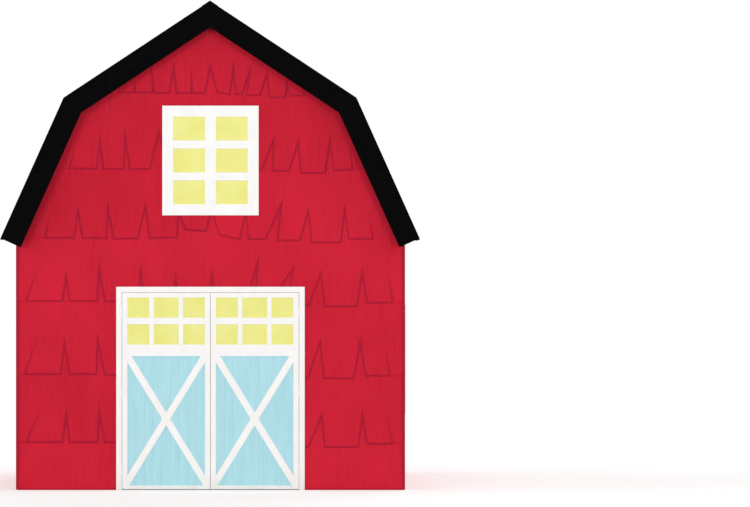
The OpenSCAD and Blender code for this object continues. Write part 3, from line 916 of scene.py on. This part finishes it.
def glazing_bars(size, columns, rows, upright, level, front, back, foot=0.0):
    """Glazing bars sawn out of one board that faces -Y, centred on X 0. The columns and rows
    give the panes' shares, and the upright and level bars have their own widths. The board lies
    between two depths."""
    width, height = size.x, size.z
    bars = start("plane", "bars", (width + 2 * INTO_SASH, height + 2 * INTO_SASH, 1),
                 (0, front, foot + height / 2), (UPRIGHT, 0, 0), (WHITE,))
    xs = pane_edges(-width / 2, width, columns, upright)
    zs = pane_edges(foot, height, rows, level)
    for pair in xs:
        for x in pair:
            cut(x * X, X)
    for pair in zs:
        for z in pair:
            cut(z * Z, Z)
    pick(bars, "FACE", lambda f: any(a < middle(f).x < b for a, b in xs)
         and any(a < middle(f).z < b for a, b in zs))
    bpy.ops.mesh.delete(type="FACE")
    clean()
    stop()
    modify(bars, "SOLIDIFY", thickness=back - front, offset=-1)
    modify(bars, "BEVEL", width=BAR_ROUND, segments=2, limit_method="ANGLE", angle_limit=0.6)
    return bars


def make_windows():
    """Bars for every window: two panes wide and three high."""
    low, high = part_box("loft_window_glass")
    pattern = glazing_bars(high - low, (1, 1), (1, 1, 1), upright=0.17, level=0.128,
                           front=-0.033, back=0.002)
    loft, ground = low.z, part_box("left_window_glass")[0].z
    windows = (
        ("loft_window_bars", 0, [(0, -WALL_Y, loft)]),
        ("back_window_bars", 2, [(0, WALL_Y, loft), (-REAR_WINDOW_X, WALL_Y, ground),
                                 (REAR_WINDOW_X, WALL_Y, ground)]),
        ("left_window_bars", -1, [(-WALL_X, y, ground) for y in (-SIDE_WINDOW_Y, SIDE_WINDOW_Y)]),
        ("right_window_bars", 1, [(WALL_X, y, ground) for y in (-SIDE_WINDOW_Y, SIDE_WINDOW_Y)]),
    )
    for name, quarters, places in windows:
        turn = (0, 0, quarters * UPRIGHT)
        bars = [settle(another(pattern, name), place, turn) for place in places]
        hand_over(unite(name, bars), "barn", "white_trim")
    drop(pattern)


def make_door_bars(side):
    """A leaf's glazing bars: three panes wide and two high, the middle ones a little wider."""
    low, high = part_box(f"{side}_door_glass")
    bars = glazing_bars(high - low, (1, 1.14, 1), (1, 1), upright=0.072, level=0.105,
                        front=low.y - 0.02, back=high.y + 0.012, foot=low.z)
    bars.name = f"{side}_door_bars"
    settle(bars, ((low.x + high.x) / 2, 0, 0))
    hand_over(bars, f"{side}_door", "white_trim")


def make_door_boards(side):
    """A leaf's upright boards, with their edges eased."""
    low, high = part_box(f"{side}_door_panel")
    size, centre = high - low, (low + high) / 2
    boards = start("plane", f"{side}_door_boards", (size.x, size.z, 1),
                   (centre.x, low.y, centre.z), (UPRIGHT, 0, 0), (BLUE,))
    for i in range(1, DOOR_BOARDS):
        cut((low.x + i * size.x / DOOR_BOARDS) * X, X)
    pick(boards, "EDGE", lambda e: len(e.link_faces) == 2)
    bpy.ops.mesh.edge_split(type="EDGE")
    stop()
    modify(boards, "SOLIDIFY", thickness=size.y, offset=-1)
    reopen()
    pick(boards, "EDGE", lambda e: abs(e.verts[0].co.z - e.verts[1].co.z) > 0.5
         and len(e.link_faces) == 2)
    bpy.ops.mesh.bevel(offset=0.0028, segments=1, affect="EDGES")
    stop()
    hand_over(boards, f"{side}_door", "blue_boards", f"{side}_door_panel")


def make_doors():
    """The bars and boards of both leaves."""
    for side in ("left", "right"):
        make_door_bars(side)
        make_door_boards(side)


def make_hinge_screws():
    """Slotted screws in the hinges' plates: four zigzag in each fixed plate, and two in each
    moving one. They are painted over with the joinery."""
    screw = start("disc", "screw", (0.011, 0.011, 1), (0, 0, 0), (UPRIGHT, 0, 0), (WHITE,))
    bpy.ops.mesh.extrude_region_move(TRANSFORM_OT_translate={"value": (0, -0.0012, 0)})
    bpy.ops.mesh.inset(thickness=0.0013, depth=0.0005)
    cut((-0.0007, 0, 0), X, everything=False)
    pick(screw, "FACE", lambda f: f.normal.y < -0.99 and middle(f).x > 0)
    cut((0.0007, 0, 0), X, everything=False)
    pick(screw, "FACE", lambda f: f.normal.y < -0.99 and abs(middle(f).x) < 0.0006)
    bpy.ops.mesh.extrude_region_move(TRANSFORM_OT_translate={"value": (0, 0.0009, 0)})
    renumber(OFF_SYMMETRY)
    stop()
    rng = random.Random(41)
    fixed = []
    for side, body in ((-1, "left_door"), (1, "right_door")):
        moving = []
        for hinge_z in HINGE_HEIGHTS:
            for group, spots in ((fixed, FIXED_SCREWS), (moving, MOVING_SCREWS)):
                for x, z in spots:
                    turn = (0, rng.uniform(0, math.pi), 0)
                    place = (x * side, PLATE_FACE, hinge_z + z)
                    group.append(settle(another(screw, "screw"), place, turn))
        hand_over(unite(f"{body}_hinge_screws", moving), body, "white_trim")
    hand_over(unite("jamb_hinge_screws", fixed), "barn", "white_trim")
    drop(screw)


# Boards inside

# The gaps between boards side by side and end to end.
SIDE_GAP = 0.003
END_GAP = 0.002

# The lining boards' width and thickness, their eased edges, how far their faces stand off the
# wall, and where they start. The front and rear walls are lined up to the first height, and the
# side walls to the second.
LINING_WIDE = 0.18
LINING_THICK = 0.0095
LINING_EASE = 0.0045
LINING_FACE = 0.01
LINING_FOOT = 0.043
END_LINING_TOP, SIDE_LINING_TOP = 3.197, 3.047

# The lining runs in behind the casings by this much.
BEHIND_CASING = 0.0525

# The loft's boards, the spacing of the joists that their ends lie on, and the hatch.
LOFT_BOARDS = 40
JOIST_STEP = 0.77
HATCH = (1.32, 2.32, 2.3475, 3.0425)


def part_boards(sheet, count, axis, low, size):
    """Cuts a sheet into this many boards side by side."""
    for i in range(1, count):
        saw(sheet, axis, low + i * size / count, SIDE_GAP)
    delete_strips(sheet, axis, SIDE_GAP + 0.002)


def line_wall(name, width, top, holes, finish, place, turn, seed):
    """Level boards that line a wall which faces -Y with its face at Y 0. Their ends meet at a
    different place in each row."""
    rng = random.Random(seed)
    holes = [grown(hole, -BEHIND_CASING) for hole in holes]
    height = top - LINING_FOOT
    sheet = start("plane", name, (width, height, 1), (0, -LINING_FACE, (LINING_FOOT + top) / 2),
                  (UPRIGHT, 0, 0), (finish,))
    rows = round(height / LINING_WIDE)
    part_boards(sheet, rows, Z, LINING_FOOT, height)
    for i in range(rows):
        low = LINING_FOOT + i * height / rows
        high = LINING_FOOT + (i + 1) * height / rows
        for shares in ((-0.42, -0.08), (0.08, 0.42)):
            end = rng.uniform(*shares) * width
            saw(sheet, X, end, END_GAP, lambda f: low < middle(f).z < high)
    delete_strips(sheet, X, END_GAP + 0.003)
    cut_holes(sheet, holes)
    clean()
    stop()
    modify(sheet, "SOLIDIFY", thickness=LINING_THICK, offset=-1)
    modify(sheet, "BEVEL", width=LINING_EASE, segments=1, limit_method="ANGLE", angle_limit=0.8)
    hand_over(settle(sheet, place, (0, 0, turn)), "barn", "bare_timber")


def make_lining():
    """Sawn boards on the ground storey's walls, cut round the doorway and windows. The side
    walls' boards stop at those of the end walls."""
    wide, long = 2 * INNER_X - 0.001, 2 * (INNER_Y - LINING_FACE) - 0.002
    rear_windows = [lower_window(-REAR_WINDOW_X), lower_window(REAR_WINDOW_X)]
    side_windows = [lower_window(-SIDE_WINDOW_Y), lower_window(SIDE_WINDOW_Y)]
    line_wall("back_lining", wide, END_LINING_TOP, rear_windows, WOOD_ACROSS,
              (0, INNER_Y, 0), 0, 51)
    line_wall("front_lining", wide, END_LINING_TOP, [doorway()], WOOD_ACROSS,
              (0, -INNER_Y, 0), math.pi, 52)
    for name, side, seed in (("right_lining", 1, 53), ("left_lining", -1, 54)):
        line_wall(name, long, SIDE_LINING_TOP, side_windows, WOOD_ALONG,
                  (INNER_X * side, 0, 0), -UPRIGHT * side, seed)


def make_loft_boards():
    """Floor boards 141 mm wide that run the length of the barn, their ends on the joists, with
    the hatch cut out. The ends of every third board are on the same joists."""
    low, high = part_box("loft_floor")
    size = high - low
    floor = start("plane", "loft_boards", (size.x, size.y, 1), (0, 0, high.z),
                  finishes=(WOOD_ALONG,))
    part_boards(floor, LOFT_BOARDS, X, low.x, size.x)
    for shift in range(3):
        for joist in (shift - 3, shift + 1):
            saw(floor, Y, joist * JOIST_STEP, END_GAP,
                lambda f: int((middle(f).x - low.x) / size.x * LOFT_BOARDS) % 3 == shift)
    delete_strips(floor, Y, END_GAP + 0.003)
    cut_holes(floor, [HATCH], Y)
    clean()
    stop()
    modify(floor, "SOLIDIFY", thickness=size.z, offset=-1)
    modify(floor, "BEVEL", width=0.0015, segments=1)
    hand_over(floor, "barn", "bare_timber", "loft_floor")


# Finishes on the CAD part's own nodes

SLOT_FINISH = {
    "red_cladding": WALL,
    "black_roofing": DECKING,
    "black_trim": BLACK,
    "white_trim": WHITE,
    "blue_boards": BLUE,
    "yellow_glass": GLASS,
    "bare_timber": WOOD_ALONG,
    "concrete": CONCRETE,
}


def finish_nodes():
    """Gives every CAD node its finish. The grain of rafters and joists runs along them."""
    own = {"loft_joists": WOOD_ACROSS, **rafter_woods()}
    for row in frame["record"]["subparts"]:
        node = frame["nodes"][row["node"]]
        node.data.materials.clear()
        node.data.materials.append(own.get(row["node"], SLOT_FINISH[row["material_slot"]]))


# Floor, light and camera

# The suns: the way their light goes, their strength and their angle in degrees.
SUNS = {
    "front_left": ((0.32, 1.0, -0.05), 1.02, 18),
    "front_right": ((-0.3, 1.0, -0.05), 0.92, 18),
    "back_fill": ((-0.2, -1.0, -0.35), 1.3, 45),
    "left_fill": ((1.0, 0.1, -0.3), 0.7, 45),
    "right_fill": ((-1.0, 0.1, -0.4), 0.6, 45),
}

# The photograph's width in pixels, its scale on the front wall, and the point of the wall that
# its middle shows. The camera's distance makes the view as flat as the drawing.
PHOTO_WIDTH = 750
METRES_A_PIXEL = 0.015424
MIDDLE_X, MIDDLE_Z = 2.537, 3.648
DISTANCE = 100.0
SENSOR = 36


def seen_directly(tree):
    """One for what the camera sees, also by reflection or through glass, and zero for light."""
    path = add(tree, "LightPath", [])
    seen = path["Is Camera Ray"]
    for name in ("Is Glossy Ray", "Is Transmission Ray"):
        seen = add(tree, "Math", [seen, path[name]], operation="MAXIMUM")[0]
    return seen


def make_floor():
    """A pale plain floor that looks white and takes a soft shadow."""
    floor = start("plane", "ground", (500, 500, 1), (0, 0, -0.002))
    stop()
    finish, tree, _ = new_finish("pale_floor")
    matt = add(tree, "BsdfDiffuse", {"Color": "#E7E7E7"})[0]
    glow = add(tree, "Emission", {"Color": "#FFFFFF", "Strength": 0.43})[0]
    both = add(tree, "AddShader", [matt, glow])[0]
    mixed = add(tree, "MixShader", [seen_directly(tree), matt, both])[0]
    add(tree, "OutputMaterial", {"Surface": mixed})
    floor.data.materials.append(finish)


def make_light():
    """A soft white sky, which looks brighter than it lights, and the suns."""
    world = bpy.data.worlds.new("soft_sky")
    bpy.context.scene.world = world
    world.use_nodes = True
    tree = world.node_tree
    tree.nodes.clear()
    strength = add(tree, "MapRange", [seen_directly(tree), 0, 1, 0.45, 1])[0]
    sky = add(tree, "Background", {"Color": "#FFFFFF", "Strength": strength})[0]
    add(tree, "OutputWorld", {"Surface": sky})
    for name, (toward, strength, angle) in SUNS.items():
        lamp = bpy.data.lights.new(name, "SUN")
        lamp.energy = strength
        lamp.angle = math.radians(angle)
        sun = bpy.data.objects.new(name, lamp)
        bpy.context.scene.collection.objects.link(sun)
        sun.rotation_euler = Vector(toward).to_track_quat("-Z", "Y").to_euler()


def make_camera():
    """The photograph's view, square to the front."""
    lens = bpy.data.cameras.new("front_view")
    lens.sensor_width = SENSOR
    lens.lens = SENSOR * DISTANCE / (PHOTO_WIDTH * METRES_A_PIXEL)
    lens.clip_end = 1000
    camera = bpy.data.objects.new("front_view", lens)
    bpy.context.scene.collection.objects.link(camera)
    camera.location = (MIDDLE_X, -WALL_Y - DISTANCE, MIDDLE_Z)
    camera.rotation_euler = (UPRIGHT, 0, 0)
    bpy.context.scene.camera = camera


make_camera()
make_cladding()
make_corner_beads()
make_roofing()
make_verges()
make_windows()
make_doors()
make_hinge_screws()
make_lining()
make_loft_boards()
finish_nodes()
make_floor()
make_light()
bpy.context.scene.view_settings.view_transform = "Standard"
bpy.ops.object.select_all(action="DESELECT")

bpy.context.view_layer.update()
